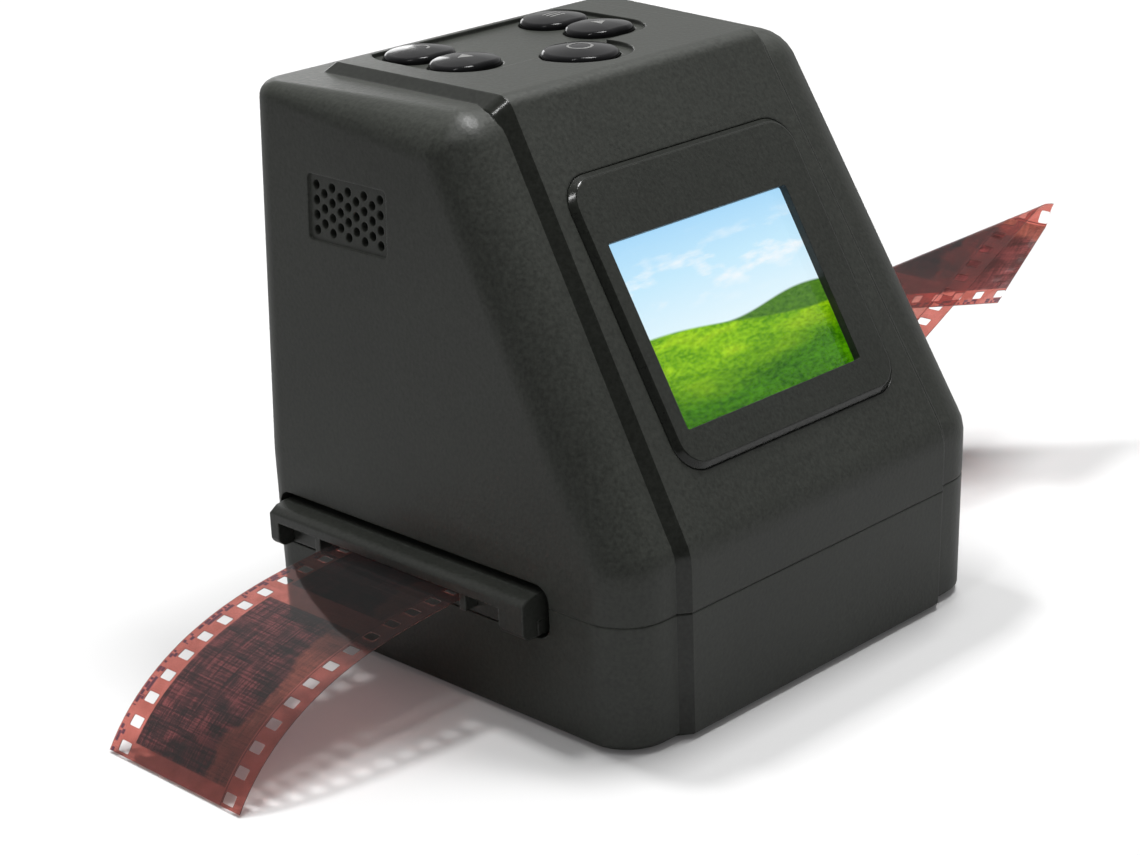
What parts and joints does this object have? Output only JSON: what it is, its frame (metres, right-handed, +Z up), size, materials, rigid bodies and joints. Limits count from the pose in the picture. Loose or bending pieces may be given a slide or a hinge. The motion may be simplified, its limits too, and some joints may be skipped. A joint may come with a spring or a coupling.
{
  "type": "film negative scanner",
  "caption": "Stand-alone desk film scanner: wedge housing with a sloped display, domed keys on top and a film adapter that slides through from side to side.",
  "frame": {"origin": "floor level under the middle of the housing's width and depth", "axes": "+Z up, -Y towards the user (the display's side), +X to the user's right, along the film"},
  "size_m": [0.2268, 0.094, 0.1065],
  "materials": {
    "housing_black": "fine matte texture",
    "bezel_black": "matte face, polished bevel",
    "adapter_black": "satin",
    "inner_black": "matte",
    "key_black": "high gloss",
    "foot_rubber": "matte",
    "screw_steel": "satin",
    "window_clear": "clear gloss",
    "display_module": "lit picture of sky and grass",
    "ribbon_amber": "satin film",
    "plunger_brown": "matte",
    "switch_grey": "matte",
    "board_green": "solder mask",
    "chip_black": "matte",
    "socket_steel": "satin",
    "jack_black": "satin",
    "barrel_black": "matte black anodised",
    "lens_glass": "polished",
    "filter_glass": "polished",
    "sensor_dark": "gloss",
    "spring_steel": "satin",
    "film_amber": "translucent, semi gloss",
    "diffuser_white": "opal",
    "light_box_white": "matte",
    "lamp_yellow": "gloss"
  },
  "bodies": {
    "housing": {"lower_housing": "housing_black", "upper_housing": "housing_black", "rubber_feet": "foot_rubber", "housing_screws": "screw_steel", "display_bezel": "bezel_black", "display_window": "window_clear", "display_module": "display_module", "display_clamp": "inner_black", "display_ribbon": "ribbon_amber", "key_switches": "switch_grey", "key_board": "board_green", "key_ribbon": "ribbon_amber", "main_board": "board_green", "main_chips": "chip_black", "card_socket": "socket_steel", "usb_socket": "socket_steel", "av_jack": "jack_black", "camera_bracket": "inner_black", "lens_barrel": "barrel_black", "lens_elements": "lens_glass", "infrared_filter": "filter_glass", "sensor_board": "board_green", "image_sensor": "sensor_dark", "upper_guide": "inner_black", "detent_springs": "spring_steel", "film_stage": "inner_black", "diffuser": "diffuser_white", "light_box": "light_box_white", "lamp_board": "board_green", "lamps": "lamp_yellow", "lamp_ribbon": "ribbon_amber", "board_screws": "screw_steel"},
    "back_key": {"key_back": "key_black", "plunger_back": "plunger_brown"},
    "menu_key": {"key_menu": "key_black", "plunger_menu": "plunger_brown"},
    "left_key": {"key_left": "key_black", "plunger_left": "plunger_brown"},
    "right_key": {"key_right": "key_black", "plunger_right": "plunger_brown"},
    "ok_key": {"key_ok": "key_black", "plunger_ok": "plunger_brown"},
    "adapter": {"adapter_lower": "adapter_black", "adapter_upper": "adapter_black"},
    "film": {"film_strip": "film_amber"}
  },
  "joints": [
    {"name": "back_key_press", "type": "slide", "parent": "housing", "child": "back_key", "axis": [0, 0, -1], "range_m": [0, 0.0008], "stiffness_N_per_m": 1500},
    {"name": "menu_key_press", "type": "slide", "parent": "housing", "child": "menu_key", "axis": [0, 0, -1], "range_m": [0, 0.0008], "stiffness_N_per_m": 1500},
    {"name": "left_key_press", "type": "slide", "parent": "housing", "child": "left_key", "axis": [0, 0, -1], "range_m": [0, 0.0008], "stiffness_N_per_m": 1500},
    {"name": "right_key_press", "type": "slide", "parent": "housing", "child": "right_key", "axis": [0, 0, -1], "range_m": [0, 0.0008], "stiffness_N_per_m": 1500},
    {"name": "ok_key_press", "type": "slide", "parent": "housing", "child": "ok_key", "axis": [0, 0, -1], "range_m": [0, 0.0008], "stiffness_N_per_m": 1500},
    {"name": "adapter_slide", "type": "slide", "parent": "housing", "child": "adapter", "axis": [-1, 0, 0], "range_m": [0, 0.016]},
    {"name": "film_feed", "type": "slide", "parent": "adapter", "child": "film", "axis": [1, 0, 0], "range_m": [0, 0.00475]}
  ]
}
